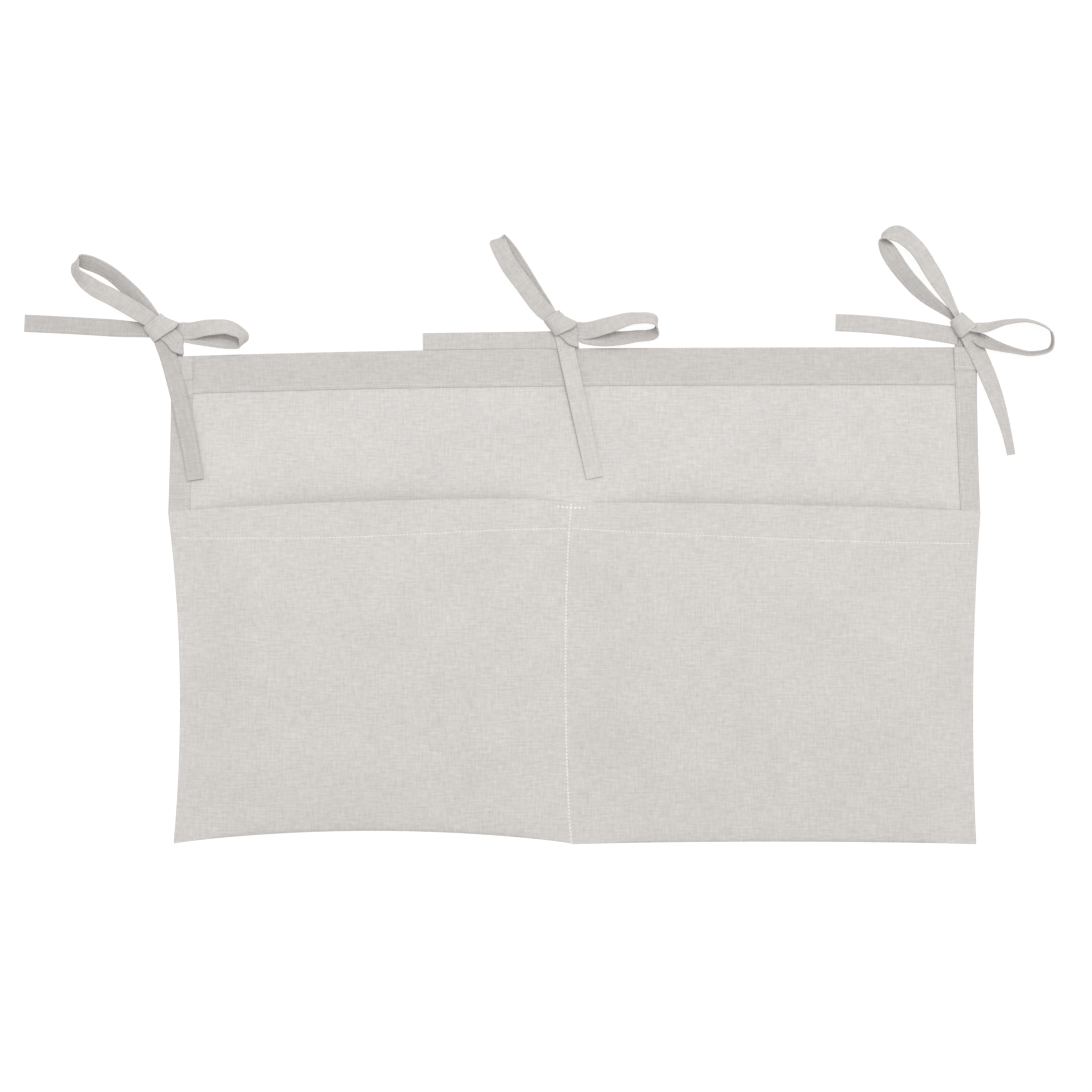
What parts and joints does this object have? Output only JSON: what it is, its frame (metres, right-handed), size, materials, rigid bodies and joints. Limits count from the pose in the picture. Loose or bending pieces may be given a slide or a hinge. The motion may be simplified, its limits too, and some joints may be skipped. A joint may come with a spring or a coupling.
{
  "type": "hanging crib organizer",
  "caption": "Flat linen organizer that hangs inside a cot: a hemmed back panel, a pocket panel divided by a sewn seam, and tape ties in bows along its top edge.",
  "frame": {"origin": "middle of the back panel's back face, which lies on the surface under it", "axes": "+X along the top edge to the right as seen from the pocket side, +Y from the lower edge towards the ties, +Z out of the pocket side"},
  "size_m": [0.7677, 0.461, 0.0166],
  "materials": {
    "panel_linen": "matt plain-weave linen, pale warm grey",
    "pocket_linen": "matt plain-weave linen, pale warm grey, doubled by what lies behind it",
    "tape_linen": "matt folded linen tape with stitched edges"
  },
  "bodies": {
    "panels": {"back_panel": "panel_linen", "pocket_panel": "pocket_linen"},
    "left_bow": {"left_tie_knot": "tape_linen", "left_tie_front_strap": "tape_linen", "left_tie_back_strap": "tape_linen", "left_tie_upper_loop": "tape_linen", "left_tie_right_loop": "tape_linen", "left_tie_left_tail": "tape_linen"},
    "left_hanging_tail": {"left_tie_down_tail": "tape_linen"},
    "middle_bow": {"middle_tie_knot": "tape_linen", "middle_tie_front_strap": "tape_linen", "middle_tie_back_strap": "tape_linen", "middle_tie_upper_loop": "tape_linen", "middle_tie_right_loop": "tape_linen", "middle_tie_left_tail": "tape_linen"},
    "middle_hanging_tail": {"middle_tie_down_tail": "tape_linen"},
    "right_bow": {"right_tie_knot": "tape_linen", "right_tie_front_strap": "tape_linen", "right_tie_back_strap": "tape_linen", "right_tie_upper_loop": "tape_linen", "right_tie_right_loop": "tape_linen", "right_tie_left_tail": "tape_linen"},
    "right_hanging_tail": {"right_tie_down_tail": "tape_linen"}
  },
  "joints": [
    {"name": "left_bow_lift", "type": "hinge", "parent": "panels", "child": "left_bow", "pos_m": [-0.298, 0.17852, 0.0045], "axis": [1, 0, 0], "range_deg": [0, 90]},
    {"name": "left_tail_lift", "type": "hinge", "parent": "panels", "child": "left_hanging_tail", "pos_m": [-0.298, 0.17852, 0.0045], "axis": [-1, 0, 0], "range_deg": [0, 25]},
    {"name": "middle_bow_lift", "type": "hinge", "parent": "panels", "child": "middle_bow", "pos_m": [-0.0015, 0.18456, 0.0045], "axis": [1, 0, 0], "range_deg": [0, 90]},
    {"name": "middle_tail_lift", "type": "hinge", "parent": "panels", "child": "middle_hanging_tail", "pos_m": [-0.0015, 0.18456, 0.0045], "axis": [-1, 0, 0], "range_deg": [0, 25]},
    {"name": "right_bow_lift", "type": "hinge", "parent": "panels", "child": "right_bow", "pos_m": [0.292, 0.18545, 0.0045], "axis": [1, 0, 0], "range_deg": [0, 45]},
    {"name": "right_tail_lift", "type": "hinge", "parent": "panels", "child": "right_hanging_tail", "pos_m": [0.292, 0.18545, 0.0045], "axis": [-1, 0, 0], "range_deg": [0, 25]}
  ]
}
